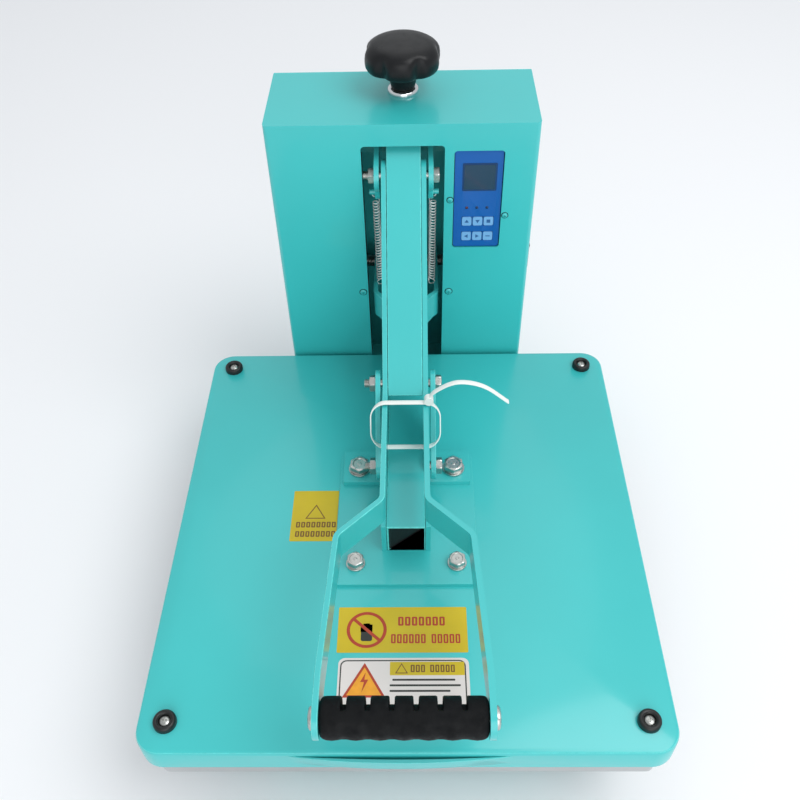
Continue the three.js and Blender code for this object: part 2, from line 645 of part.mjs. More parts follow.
place('base_frame', baseFrame(), 'teal');
place('lower_platen', lowerPlaten(), 'aluminium');
place('silicone_pad', siliconePad(), 'silicone');
place('case_shell', caseShell(), 'teal');
place('rear_panel', rearPanel(), 'teal');
place('top_bridge', topBridge(), 'steel');
place('screw_bushing', screwBushing(), 'steel');
place('main_pivot_bolt', mainPivotBolt(), 'steel');
place('relay', relay(), 'black');
place('power_inlet', powerInlet(), 'dark');
place('switch_bezel', switchBezel(), 'dark');
place('power_rocker', powerRocker(), 'black');
place('controller_body', controllerBody(), 'blue');
place('lcd_window', lcdWindow(), 'screen');
place('adjuster_clevis', adjusterClevis(), 'teal');
place('adjuster_pivot_bolt', adjusterPivotBolt(), 'steel');
place('pressure_screw', pressureScrew(), 'steel');
place('pressure_knob', pressureKnob(), 'black');
place('lever_tube', leverTube(), 'teal');
place('grip_rod', gripRod(), 'steel');
place('handle_grip', handleGrip(), 'dark');
place('cable_tie', cableTie(), 'nylon');
place('arm_tube', armTube(), 'teal');
place('arm_end_cap', armEndCap(), 'dark');
place('mount_plate', mountPlate(), 'teal');
place('cover', cover(), 'teal');
place('insulation', insulation(), 'wool');
place('heating_platen', heatingPlaten(), 'aluminium');

for (const [name, side] of SIDES) {
  place(`foot_front_${name}`, foot(side * FOOT.x, FOOT.front), 'dark');
  place(`foot_rear_${name}`, foot(side * FOOT.x, FOOT.rear), 'dark');
  place(`upright_${name}`, upright(side), 'grey');
  place(`lever_plate_${name}`, leverPlate(side), 'teal');
  place(`link_${name}`, link(side), 'teal');
  place(`link_top_bolt_${name}`, sideBolt(side, PIVOT_B, 20.3), 'steel');
  place(`link_arm_bolt_${name}`, sideBolt(side, PIVOT_C, 16.6), 'steel');
  place(`yoke_${name}`, yoke(side), 'teal');
  const { x, rear, front } = HEAD_BOLTS;
  place(`head_bolt_rear_${name}`, headBolt(side * x, rear, FOOT_PLATE.top, 10, 16, 20), 'steel');
  place(`head_bolt_front_${name}`, headBolt(side * x, front, MOUNT_PLATE.top, 8, 13, 16), 'steel');
  place(`grommet_front_${name}`, grommet(side * 178.3, 23.4), 'dark');
  place(`grommet_rear_${name}`, grommet(side * 178.3, 400.2), 'dark');
  place(`spring_${name}`, returnSpring(side), 'steel');
}

KEYS.z.forEach((z, row) => KEYS.x.forEach((x, column) => {
  place(`key_${row * KEYS.x.length + column + 1}`, key(x, z), 'key');
}));

// The origin goes to the centre of the footprint, on the table.
const bounds = new THREE.Box3().setFromObject(press);
press.position.set(
  -(bounds.min.x + bounds.max.x) / 2, -(bounds.min.y + bounds.max.y) / 2, -bounds.min.z);

export default press;
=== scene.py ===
"""Clamshell heat press, closed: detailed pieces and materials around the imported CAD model."""

import json
import math

import bmesh
import bpy
from mathutils import Matrix, Vector


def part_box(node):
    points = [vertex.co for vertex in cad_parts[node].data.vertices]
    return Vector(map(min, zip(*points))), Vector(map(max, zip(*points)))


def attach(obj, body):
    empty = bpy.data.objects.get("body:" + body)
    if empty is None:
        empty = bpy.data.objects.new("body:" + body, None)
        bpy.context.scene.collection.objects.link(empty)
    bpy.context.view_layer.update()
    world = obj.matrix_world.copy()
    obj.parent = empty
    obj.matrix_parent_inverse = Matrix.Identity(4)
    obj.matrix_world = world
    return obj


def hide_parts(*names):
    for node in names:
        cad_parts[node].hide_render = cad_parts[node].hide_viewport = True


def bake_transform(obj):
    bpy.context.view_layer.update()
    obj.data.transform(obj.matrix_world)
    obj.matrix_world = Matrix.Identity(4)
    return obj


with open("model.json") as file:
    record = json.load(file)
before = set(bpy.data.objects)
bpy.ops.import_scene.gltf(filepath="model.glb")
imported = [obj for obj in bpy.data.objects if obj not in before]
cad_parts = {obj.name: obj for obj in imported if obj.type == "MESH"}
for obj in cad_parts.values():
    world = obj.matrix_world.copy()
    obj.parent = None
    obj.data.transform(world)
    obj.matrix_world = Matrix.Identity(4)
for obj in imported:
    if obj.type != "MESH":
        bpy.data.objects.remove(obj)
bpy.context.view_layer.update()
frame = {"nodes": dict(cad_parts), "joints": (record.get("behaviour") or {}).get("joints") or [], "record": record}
MM = 0.001
RIGHT = Vector((1, 0, 0))
REAR = Vector((0, 1, 0))
UP = Vector((0, 0, 1))
SIDES = (("left", -1), ("right", 1))
ENDS = ("front", "rear")

# Lengths in millimetres.
SPRING_WIRE_RADIUS = 0.6
SPRING_PITCH = 3.4
SPRING_DROP = 3.5         # straight wire between the upper hook and the coil
HOOK_RISE = 4.2           # centre of a spring's hook beyond the end of its coil
HOOK_RADIUS = 3
HOOK_SWEEP = 250          # degrees

GROMMET_SCREW_RISE = 2.3
LABEL_FRONT = 422         # the labels' zero line, in front of the cover's rear edge
SHEET_THICK = 0.15        # sticker film
PRINT_THICK = 0.06
BOX_PITCH = 1.28          # from one open box of a word to the next, in box widths

GRIP_RADIUS = 13.9
GRIP_SEGMENTS = 7
NOTCH_HALF = 1.5
NOTCH_DEPTH = 5.4

TIE_LOW = 56.6            # heights of the tie's two crossings over the cover
TIE_HIGH = 88.6
TIE_HALF = 29.8

LOBE_OFFSET = 0.07        # turn of the knob's first valley, in radians
LOBE_SPREAD = 0.17
KNOB_DEPTH = 24           # from the underside of the knob's rim to its top

CAMERA_TURN = (45.91, -1.58, -1.61)          # degrees down, aside and rolled
CAMERA_OFFSET = (10.2, -686.2, 638.5)        # from the middle of the cover's rear edge
CAMERA_LENS = 40.23

PIVOT = {joint["name"]: Vector(joint["pos_m"]) for joint in frame["joints"] if "pos_m" in joint}


def mm(*values):
    """A point or direction given in millimetres."""
    return Vector(values) * MM


def low(node):
    """The lowest corner of a node."""
    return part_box(node)[0]


def high(node):
    """The highest corner of a node."""
    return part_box(node)[1]


def centre(node):
    """The middle of a node's box."""
    return (low(node) + high(node)) / 2


def base_centre(node):
    """The middle of the underside of a node's box."""
    middle = centre(node)
    return Vector((middle.x, middle.y, low(node).z))


def extent(node):
    """Width and height of a node seen from the front, in millimetres."""
    size = (high(node) - low(node)) / MM
    return size.x, size.z


# ---------------------------------------------------------------- materials

def linear(red, green, blue):
    """sRGB 0..255 as the linear colour that shaders use."""
    channels = [value / 255 for value in (red, green, blue)]
    return [c / 12.92 if c <= 0.04045 else ((c + 0.055) / 1.055) ** 2.4 for c in channels] + [1]


def noise(tree, scale, detail=4, stretch=(1, 1, 1)):
    """Noise in the object's own space, `scale` waves per metre."""
    coordinates = tree.nodes.new("ShaderNodeTexCoord")
    mapping = tree.nodes.new("ShaderNodeMapping")
    mapping.inputs["Scale"].default_value = stretch
    texture = tree.nodes.new("ShaderNodeTexNoise")
    texture.inputs["Scale"].default_value = scale
    texture.inputs["Detail"].default_value = detail
    tree.links.new(coordinates.outputs["Object"], mapping.inputs["Vector"])
    tree.links.new(mapping.outputs["Vector"], texture.inputs["Vector"])
    return texture.outputs["Fac"]


def ramp(tree, factor, first, second, start=0.35, end=0.65):
    """A colour ramp between two colours."""
    node = tree.nodes.new("ShaderNodeValToRGB")
    node.color_ramp.elements[0].position = start
    node.color_ramp.elements[0].color = first
    node.color_ramp.elements[1].position = end
    node.color_ramp.elements[1].color = second
    tree.links.new(factor, node.inputs["Fac"])
    return node.outputs["Color"]


def span(tree, factor, least, most):
    """A factor around 0.5 spread over a range."""
    node = tree.nodes.new("ShaderNodeMapRange")
    node.inputs["From Min"].default_value = 0.3
    node.inputs["From Max"].default_value = 0.7
    node.inputs["To Min"].default_value = least
    node.inputs["To Max"].default_value = most
    tree.links.new(factor, node.inputs["Value"])
    return node.outputs["Result"]


def shade(color, amount):
    """A colour made darker or lighter."""
    return [channel * amount for channel in color[:3]] + [1]


BUMP_DISTANCE = 0.0004
COAT_ROUGHNESS = 0.12
OFF = [0, 0, 0, 1]
FULL = [1, 1, 1, 1]


def worn(tree, tint, wear):
    """The tint with speckles of the worn colour along convex edges."""
    geometry = tree.nodes.new("ShaderNodeNewGeometry")
    edge = ramp(tree, geometry.outputs["Pointiness"], OFF, FULL, 0.535, 0.6)
    speckle = ramp(tree, noise(tree, 300, 6), OFF, FULL, 0.4, 0.62)
    both = tree.nodes.new("ShaderNodeMath")
    both.operation = "MULTIPLY"
    tree.links.new(edge, both.inputs[0])
    tree.links.new(speckle, both.inputs[1])
    mix = tree.nodes.new("ShaderNodeMix")
    mix.data_type = "RGBA"
    mix.inputs["B"].default_value = wear
    tree.links.new(both.outputs["Value"], mix.inputs["Factor"])
    tree.links.new(tint, mix.inputs["A"])
    return mix.outputs["Result"]


def surface(name, color, rough, metal=0.0, bump=0.0, grain=400, wear=None, coat=0.0, tone=0.08,
            stretch=(1, 1, 1), cloud=9, specular=0.5):
    """A material with clouded colour and roughness, a fine bump, and paler or worn edges."""
    material = bpy.data.materials.new(name)
    material.use_nodes = True
    tree = material.node_tree
    shader = tree.nodes["Principled BSDF"]
    shader.inputs["Metallic"].default_value = metal
    shader.inputs["Specular IOR Level"].default_value = specular
    shader.inputs["Coat Weight"].default_value = coat
    shader.inputs["Coat Roughness"].default_value = COAT_ROUGHNESS
    clouds = noise(tree, cloud, 5)
    tint = ramp(tree, clouds, shade(color, 1 - tone), shade(color, 1 + tone))
    if wear:
        tint = worn(tree, tint, wear)
    tree.links.new(tint, shader.inputs["Base Color"])
    fine = noise(tree, grain, 3, stretch)
    patches = span(tree, noise(tree, cloud * 4, 6), rough * (1 - 2 * tone), rough * (1 + 2 * tone))
    tree.links.new(patches, shader.inputs["Roughness"])
    if bump:
        relief = tree.nodes.new("ShaderNodeBump")
        relief.inputs["Strength"].default_value = bump
        relief.inputs["Distance"].default_value = BUMP_DISTANCE
        tree.links.new(fine, relief.inputs["Height"])
        tree.links.new(relief.outputs["Normal"], shader.inputs["Normal"])
    return material


PAINT = surface("teal_powder_coat", linear(58, 190, 190), 0.34, bump=0.03, grain=700, coat=0.45,
                tone=0.03, cloud=6)
# Lighter teal given to every rounded edge of the painted parts: a painted highlight, close to the colour of the
# cover's lit side.
PAINT_EDGE_HIGHLIGHT = surface("teal_edge_highlight", linear(96, 212, 208), 0.3, bump=0.05, grain=700, tone=0.12, cloud=160)
ZINC = surface("zinc_plate", linear(186, 187, 183), 0.3, metal=1, bump=0.06, grain=500,
               wear=linear(226, 226, 224), tone=0.08, cloud=70)
CHROME = surface("polished_bushing", linear(225, 226, 228), 0.1, metal=1, bump=0.03, tone=0.04)
SPRING_WIRE = surface("spring_wire", linear(244, 247, 245), 0.28, metal=0.15, bump=0.05, tone=0.06, cloud=60)
PRIMER = surface("grey_primer", linear(96, 100, 103), 0.55, bump=0.25, grain=700)
# Paler grey given to every rounded edge of the primer parts: a painted highlight.
PRIMER_EDGE_HIGHLIGHT = surface("primer_edge_highlight", linear(150, 150, 150), 0.4, bump=0.1, tone=0.2, cloud=200)
ALUMINIUM = surface("milled_aluminium", linear(198, 199, 200), 0.34, metal=1, bump=0.3, grain=260,
                    stretch=(1, 24, 24), tone=0.06)
SILICONE = surface("silicone_foam", linear(240, 240, 240), 0.85, bump=0.7, grain=1400, tone=0.05)
WOOL = surface("mineral_wool", linear(208, 196, 150), 0.95, bump=1.0, grain=900, tone=0.15)
RUBBER = surface("grip_rubber", linear(9, 11, 13), 0.6, bump=0.4, grain=1300,
                 wear=linear(40, 42, 43), tone=0.15, cloud=40, specular=0.15)
GROMMET = surface("grommet_rubber", linear(17, 19, 19), 0.42, bump=0.25, grain=900, tone=0.2)
KNOB = surface("moulded_black_plastic", linear(20, 21, 23), 0.34, bump=0.12, grain=800,
               wear=linear(46, 46, 46), tone=0.1, cloud=30, specular=0.25)
BLACK = surface("black_plastic", linear(22, 22, 23), 0.5, bump=0.35, grain=1100, tone=0.15, specular=0.3)
PANEL_BLUE = surface("panel_film_blue", linear(12, 90, 172), 0.33, bump=0.12, grain=1500, tone=0.05)
LCD = surface("lcd_glass", linear(32, 46, 78), 0.08, bump=0.01, tone=0.12, coat=0.6)
LCD_FRAME = surface("lcd_frame", linear(14, 52, 104), 0.3, tone=0.05)
KEY_FILM = surface("key_film", linear(122, 176, 226), 0.4, bump=0.15, grain=1200, tone=0.05)
# Paler black given to every rounded edge of the black plastic parts: a painted highlight.
BLACK_EDGE_HIGHLIGHT = surface("black_edge_highlight", linear(44, 44, 45), 0.4, bump=0.2, tone=0.2, cloud=200)
ICON = surface("key_icon", linear(40, 92, 150), 0.5, tone=0.05)
LAMP = surface("lamp_lens", linear(22, 46, 88), 0.25, tone=0.1, cloud=200)
LAMP_RED = surface("lamp_lens_red", linear(74, 32, 58), 0.25, tone=0.1, cloud=200)
NYLON = surface("natural_nylon", linear(238, 240, 236), 0.35, bump=0.1, grain=900, tone=0.03)
YELLOW = surface("sticker_yellow", linear(204, 178, 20), 0.4, bump=0.08, grain=1500, tone=0.06, cloud=25)
WHITE = surface("sticker_white", linear(222, 214, 210), 0.42, bump=0.08, grain=1500, tone=0.03, cloud=25)
RED_INK = surface("red_ink", linear(176, 58, 30), 0.45, tone=0.08, cloud=200)
ORANGE_INK = surface("orange_ink", linear(236, 160, 36), 0.45, tone=0.06, cloud=200)
DARK_INK = surface("dark_ink", linear(44, 46, 42), 0.5, tone=0.1, cloud=200)
BROWN_INK = surface("brown_ink", linear(120, 82, 30), 0.5, tone=0.1, cloud=200)

# The lighter copy of each material that a polished node's rounded edges are made of: a painted highlight along the
# edges.
EDGE_HIGHLIGHT = {PAINT: PAINT_EDGE_HIGHLIGHT, PRIMER: PRIMER_EDGE_HIGHLIGHT, BLACK: BLACK_EDGE_HIGHLIGHT}


# ---------------------------------------------------------------- making pieces

def piece(name, mesh, material, body, replaces=(), sharp=38):
    """A finished object with smooth shading that rides on a CAD body."""
    obj = bpy.data.objects.new(name, mesh)
    bpy.context.scene.collection.objects.link(obj)
    if not mesh.materials:
        mesh.materials.append(material)
    mesh.shade_smooth()
    mesh.set_sharp_from_angle(angle=math.radians(sharp))
    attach(obj, body)
    if replaces:
        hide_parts(*replaces)
    return obj


def body_of(node):
    """The name of the body that carries a node."""
    return next(name for name, nodes in frame["record"]["behaviour"]["bodies"].items() if node in nodes)


def polished(node, material, bevel=0.6, segments=2, sharp=38):
    """A CAD node's own shape with its sharp edges rounded."""
    shape = bmesh.new()
    shape.from_mesh(frame["nodes"][node].data)
    bmesh.ops.remove_doubles(shape, verts=shape.verts, dist=1e-6)
    bmesh.ops.dissolve_limit(shape, angle_limit=math.radians(0.6), verts=shape.verts, edges=shape.edges)
    mesh = bpy.data.meshes.new(f"{node}_shape")
    shape.to_mesh(mesh)
    shape.free()
    obj = piece(f"{node}_fine", mesh, material, body_of(node), [node], sharp)
    rounding = obj.modifiers.new("rounding", "BEVEL")
    rounding.width = bevel * MM
    rounding.segments = segments
    rounding.limit_method = "ANGLE"
    rounding.angle_limit = math.radians(40)
    rounding.harden_normals = True
    # The bevel faces get the lighter copy of the material: a painted highlight along the rounded edges.
    if material in EDGE_HIGHLIGHT:
        mesh.materials.append(EDGE_HIGHLIGHT[material])
        rounding.material = 1
    return obj


def lofted(name, rings, closed=False):
    """A mesh through rings of equal length; its ends are capped unless it closes on itself."""
    count = len(rings[0])
    shape = bmesh.new()
    rows = [[shape.verts.new(point) for point in ring] for ring in rings]
    pairs = list(zip(rows, rows[1:])) + ([(rows[-1], rows[0])] if closed else [])
    for lower, upper in pairs:
        for i in range(count):
            j = (i + 1) % count
            shape.faces.new((lower[i], lower[j], upper[j], upper[i]))
    if not closed:
        shape.faces.new(list(reversed(rows[0])))
        shape.faces.new(rows[-1])
    bmesh.ops.recalc_face_normals(shape, faces=shape.faces)
    mesh = bpy.data.meshes.new(name)
    shape.to_mesh(mesh)
    shape.free()
    return mesh


def basis(axis):
    """Two directions square to an axis."""
    helper = Vector((0, 0, 1)) if abs(axis.z) < 0.9 else Vector((0, 1, 0))
    first = axis.cross(helper).normalized()
    return first, axis.cross(first).normalized()


def ring(origin, axis, radius, sides=48):
    """Points around an axis; radius is a number or a function of the angle."""
    first, second = basis(axis)
    points = []
    for i in range(sides):
        angle = 2 * math.pi * i / sides
        reach = radius(angle) if callable(radius) else radius
        points.append(origin + (first * math.cos(angle) + second * math.sin(angle)) * reach)
    return points


def turned(name, origin, axis, profile, sides=48, closed=False):
    """A profile of (radius, height) in millimetres turned about an axis."""
    rings = [ring(origin + axis * height * MM, axis, radius * MM, sides) for radius, height in profile]
    return lofted(name, rings, closed)


def joined(name, meshes):
    """Several closed shells as one mesh, each keeping its own material."""
    shape = bmesh.new()
    materials = []
    for mesh in meshes:
        start = len(shape.faces)
        shape.from_mesh(mesh)
        shape.faces.ensure_lookup_table()
        offset = len(materials)
        materials.extend(mesh.materials or [None])
        for face in shape.faces[start:]:
            face.material_index += offset
    whole = bpy.data.meshes.new(name)
    shape.to_mesh(whole)
    shape.free()
    if any(materials):
        for material in materials:
            whole.materials.append(material)
    return whole


def inked(mesh, material):
    """A mesh with its own material."""
    mesh.materials.append(material)
    return mesh


def slab(name, outline, origin, across, up, thickness):
    """A flat outline of (across, up) millimetres, raised by a thickness along its normal."""
    normal = across.cross(up)
    flat = [origin + across * x * MM + up * y * MM for x, y in outline]
    return lofted(name, [flat, [point + normal * thickness * MM for point in flat]])


def rounded(x0, x1, y0, y1, corner, steps=6):
    """A rectangle with round corners, as (x, y) points."""
    points = []
    for x, y, start in ((x0 + corner, y0 + corner, 180), (x1 - corner, y0 + corner, 270),
                        (x1 - corner, y1 - corner, 0), (x0 + corner, y1 - corner, 90)):
        for i in range(steps + 1):
            angle = math.radians(start + 90 * i / steps)
            points.append((x + corner * math.cos(angle), y + corner * math.sin(angle)))
    return points


def smooth_path(corners, steps):
    """A smooth curve through points, as a dense list of points."""
    points = [2 * corners[0] - corners[1]] + corners + [2 * corners[-1] - corners[-2]]
    path = []
    for i in range(1, len(points) - 2):
        before, start, end, after = points[i - 1:i + 3]
        for k in range(steps):
            t = k / steps
            square = 2 * before - 5 * start + 4 * end - after
            cube = 3 * start - 3 * end + after - before
            path.append(0.5 * (2 * start + (end - before) * t + square * t * t + cube * t ** 3))
    return path + [corners[-1]]


def heading_at(path, i):
    """The direction of a path at one of its points."""
    return (path[min(i + 1, len(path) - 1)] - path[max(i - 1, 0)]).normalized()


def swept(name, path, radius, up):
    """A round wire along a path of points."""
    angles = [2 * math.pi * k / 8 for k in range(8)]
    rings = []
    for i, point in enumerate(path):
        heading = heading_at(path, i)
        side = heading.cross(up)
        if side.length < 1e-6:
            side = heading.cross(REAR)
        side.normalize()
        over = heading.cross(side)
        rings.append([point + (side * math.cos(a) + over * math.sin(a)) * radius for a in angles])
    return lofted(name, rings)


# ---------------------------------------------------------------- fasteners

def hexagon(across):
    """The radius of a hexagon at an angle, from its width across flats."""
    def radius(angle):
        turn = (angle + math.pi / 6) % (math.pi / 3) - math.pi / 6
        return across / 2 / math.cos(turn) * MM
    return radius


def hex_head(origin, axis, across, height, hollow=False):
    """A hexagon head or nut whose corners are turned off; a head's top is dished."""
    flats = hexagon(across)
    corner = across / math.sqrt(3)
    levels = [(corner * 0.94, 0), (corner, 0.5), (corner, height - 1.1), (corner * 0.95, height - 0.45),
              (across * 0.46, height)]
    if not hollow:
        levels += [(across * 0.38, height), (across * 0.34, height - 0.7), (across * 0.12, height - 0.7),
                   (across * 0.08, height - 0.3)]
    return lofted("hex", [ring(origin + axis * level * MM, axis, lambda a, r=limit: min(flats(a), r * MM), 72)
                          for limit, level in levels])


def washer(origin, axis, radius, thickness):
    """A flat washer with softened edges."""
    profile = [(radius - 0.3, 0), (radius, 0.3), (radius, thickness - 0.3), (radius - 0.3, thickness)]
    return turned("washer", origin, axis, profile)


COARSE_PITCH = 1.25


def thread(origin, axis, radius, length, pitch=COARSE_PITCH):
    """A threaded shank with a turned-off end."""
    profile = []
    turns = int(length / pitch)
    for i in range(turns):
        profile += [(radius - 0.5, i * pitch), (radius, (i + 0.45) * pitch), (radius, (i + 0.6) * pitch)]
    profile += [(radius - 0.5, length - 0.4), (radius - 1.2, length)]
    return turned("thread", origin, axis, profile, 24)


def side_bolt(node, pivot, side):
    """The bolt of one linkage pivot: its head on the right, its nut and thread end on the left."""
    axis = Vector((side, 0, 0))
    plate = high("link_right").x
    inner = min(abs(low(node).x), abs(high(node).x))
    start = Vector((side * inner, pivot.y, pivot.z))
    seat = Vector((side * (plate + 0.3 * MM), pivot.y, pivot.z))
    shank = (plate - inner) / MM + 0.4
    parts = [
        turned("shank", start, axis, [(3.9, 0), (3.9, shank)], 24),
        hex_head(seat, axis, 13, 5.3, side < 0),
    ]
    if side < 0:
        parts.append(thread(seat + axis * 5 * MM, axis, 3.9, 5))
    return parts


def head_bolt(node, diameter, across, washer_radius):
    """A bolt of the mount plate with its washer."""
    bottom = base_centre(node)
    seat = Vector((bottom.x, bottom.y, high(node).z - 8.2 * MM))
    length = (seat.z - bottom.z) / MM + 1
    parts = [
        turned("shank", bottom, UP, [(diameter / 2 - 1, 0), (diameter / 2, 1), (diameter / 2, length)], 24),
        washer(seat, UP, washer_radius, 2),
        turned("spring_washer", seat + UP * 1.9 * MM, UP,
               [(across * 0.52, 0), (across * 0.54, 0.3), (across * 0.54, 1.3), (across * 0.52, 1.6)]),
        hex_head(seat + UP * 3.4 * MM, UP, across, 4.8),
    ]
    return piece(f"{node}_fine", joined(node, parts), ZINC, body_of(node), [node], 30)


SCREW_SKIRT = 0.5


def cross_screw(name, origin, axis, radius, body, material=ZINC, height=1.9):
    """A domed screw head with a cross recess."""
    profile = [(radius, 0), (radius, SCREW_SKIRT)]
    for degrees in (20, 38, 54, 68, 80):
        angle = math.radians(degrees)
        profile.append((radius * math.cos(angle), SCREW_SKIRT + (height - SCREW_SKIRT) * math.sin(angle)))
    head = piece(name, turned(name, origin, axis, profile, 40), material, body, sharp=30)
    first, second = basis(axis)
    arms = []
    for along, across in ((first, second), (second, -first)):
        outline = rounded(-radius * 0.55, radius * 0.55, -radius * 0.12, radius * 0.12, radius * 0.1, 2)
        arms.append(slab("recess", outline, origin + axis * (height - 1.1) * MM, along, across, 2))
    for i, arm in enumerate(arms):
        cutter = bpy.data.objects.new(f"{name}_recess_{i}", arm)
        bpy.context.scene.collection.objects.link(cutter)
        recess = head.modifiers.new("recess", "BOOLEAN")
        recess.object = cutter
        recess.solver = "EXACT"
    bpy.context.view_layer.update()
    shape = bpy.data.meshes.new_from_object(head.evaluated_get(bpy.context.evaluated_depsgraph_get()))
    for modifier in list(head.modifiers):
        bpy.data.objects.remove(modifier.object)
        head.modifiers.remove(modifier)
    head.data = shape
    return head


# ---------------------------------------------------------------- head and labels

GROMMET_PROFILE = [
    (8.75, 0), (8.75, 3.2), (8.5, 4.2), (7.9, 5.1), (7.0, 5.6), (6.0, 5.5), (5.3, 5.0), (4.6, 4.0),
    (4.4, 2.2),
]
HEAD_BOLTS = {"front": (8, 13, 8), "rear": (10, 16, 10)}    # thread, width across flats, washer radius


def make_head():
    """Cover, insulation, platens and pad, with the grommets and bolts of the head."""
    polished("cover", PAINT, 0.5, 3, 50)
    polished("insulation", WOOL, 1.5)
    polished("heating_platen", ALUMINIUM, 0.8)
    polished("silicone_pad", SILICONE, 1.0, 3)
    polished("lower_platen", ALUMINIUM, 0.8)
    polished("mount_plate", PAINT, 0.8)
    for end in ENDS:
        for name, _ in SIDES:
            node = f"grommet_{end}_{name}"
            base = base_centre(node)
            piece(f"{node}_fine", turned(node, base, UP, GROMMET_PROFILE), GROMMET, "platen_arm",
                  [node], 60)
            seat = base + UP * GROMMET_SCREW_RISE * MM
            cross_screw(f"{node}_screw", seat, UP, 4.1, "platen_arm", height=2.2)
            head_bolt(f"head_bolt_{end}_{name}", *HEAD_BOLTS[end])


def ring_mark(origin, radius, width, material, steps=40):
    """A flat ring printed on the cover."""
    inner = radius - width
    profile = [(inner, 0), (radius, 0), (radius, PRINT_THICK), (inner, PRINT_THICK)]
    return inked(turned("ring", origin, UP, profile, steps, closed=True), material)


def mark(outline, origin, material, thickness=PRINT_THICK):
    """A flat printed shape on the cover."""
    return inked(slab("mark", outline, origin, RIGHT, REAR, thickness), material)


def bars(origin, rows, material):
    """Plain bars standing where a label would have its lines of print."""
    return [mark(rounded(x, x + width, y, y + height, height * 0.3, 2), origin, material)
            for x, y, width, height in rows]


def word(origin, x, y, count, width, height, ink):
    """A row of open boxes where a label would have a word."""
    marks = []
    margin_x = width * 0.36
    margin_y = width * 0.34
    for i in range(count):
        left = x + width * BOX_PITCH * i
        box = rounded(left, left + width, y, y + height, width * 0.2, 2)
        hole = rounded(left + margin_x, left + width - margin_x, y + margin_y, y + height - margin_y, 0.1, 1)
        marks.append(mark(box, origin, ink, 0.04))
        marks.append(mark(hole, origin, YELLOW))
    return marks


def triangle(x, y, size, scale=1.0):
    """An upright triangle, scaled about its middle."""
    height = size * 0.86
    middle_x, middle_y = x + size / 2, y + height / 3
    corners = [(x, y), (x + size, y), (x + size / 2, y + height)]
    return [(middle_x + (a - middle_x) * scale, middle_y + (b - middle_y) * scale) for a, b in corners]


def small_marks(origin):
    """A triangle with a stroke and a dot, over two rows of boxes."""
    return [
        mark(triangle(12, 24, 18), origin, BROWN_INK, 0.04),
        mark(triangle(12, 24, 18, 0.82), origin, YELLOW, 0.07),
        *bars(origin, [(20.2, 28, 1.6, 7.5), (20.2, 25.6, 1.6, 1.4)], BROWN_INK),
        *word(origin, 4.5, 14.5, 8, 3.5, 6, BROWN_INK),
        *word(origin, 4.5, 4.6, 8, 3.5, 6, BROWN_INK),
    ]


def wide_marks(origin):
    """A crossed ring over a plain hand shape, beside rows of boxes."""
    middle = origin + mm(23, 20, 0)
    turn = math.radians(-42)
    along = Vector((math.cos(turn), math.sin(turn), 0))
    beside = Vector((-math.sin(turn), math.cos(turn), 0))
    slash = slab("slash", rounded(-15, 15, -1.3, 1.3, 0.4, 2), middle, along, beside, 0.08)
    fingers = [(-4.6 + 2.4 * i, -2, 1.7, 8 - abs(i - 1.6)) for i in range(4)]
    return [
        ring_mark(middle, 16, 2.6, RED_INK),
        inked(slash, RED_INK),
        mark(rounded(-4.5, 4.5, -10, 0, 1.5, 3), middle, DARK_INK, 0.05),
        *bars(middle, fingers, DARK_INK),
        *word(origin, 48, 23.5, 7, 4.3, 8, RED_INK),
        *word(origin, 42.5, 8, 6, 3.7, 8, RED_INK),
        *word(origin, 74.5, 8, 5, 3.7, 8, RED_INK),
    ]


def white_marks(origin):
    """A bordered sheet with a flash in a triangle, a yellow strip and bars."""
    flash = [(21.5, 43), (17.4, 35), (20.4, 35), (18.6, 26.5), (23.6, 37), (20.6, 37)]
    over_strip = origin + mm(0, 0, 0.05)
    return [
        mark(rounded(1.5, 98.5, 1.2, 53.2, 5), origin, DARK_INK, 0.03),
        mark(rounded(2.5, 97.5, 2.2, 52.2, 4.2), origin, WHITE, 0.05),
        mark(triangle(4, 22.5, 33), origin, RED_INK, 0.07),
        mark(triangle(4, 22.5, 33, 0.8), origin, ORANGE_INK, 0.09),
        mark(flash, origin, RED_INK, 0.12),
        mark(rounded(40, 97.4, 40.5, 51.6, 0.5, 2), origin, YELLOW, 0.07),
        mark(triangle(44, 42, 10), origin, BROWN_INK, 0.1),
        mark(triangle(44, 42, 10, 0.75), origin, YELLOW, 0.12),
        *word(over_strip, 56, 43, 3, 3.1, 6.2, BROWN_INK),
        *word(over_strip, 71, 43, 5, 3.1, 6.2, BROWN_INK),
        *bars(origin, [(42, 36.0, 48, 1.6), (40, 31.5, 54, 1.6), (40, 27, 46, 1.6)], DARK_INK),
        *bars(origin, [(8, 15, 82, 1.6), (8, 10.5, 74, 1.6)], DARK_INK),
    ]


# Each sticker's name, left, right, front and rear edge, paper, corner radius and print.
LABELS = (
    ("label_small", -101.5, -61, 185, 240, YELLOW, 1.0, small_marks),
    ("label_wide", -54.5, 48.5, 79.5, 119.8, YELLOW, 1.0, wide_marks),
    ("label_white", -52.5, 48.5, 20, 75, WHITE, 5.0, white_marks),
)


def make_labels():
    """Three stickers on the cover, with plain shapes in place of their print."""
    front = high("cover").y - LABEL_FRONT * MM
    for name, left, right, near, far, paper, corner, marks in LABELS:
        origin = Vector((left * MM, front + near * MM, high("cover").z))
        sheet = mark(rounded(0, right - left, 0, far - near, corner), origin, paper, SHEET_THICK)
        printed = marks(origin + UP * SHEET_THICK * MM)
        piece(name, joined(name, [sheet] + printed), paper, "platen_arm")


# ---------------------------------------------------------------- arm, links, lever

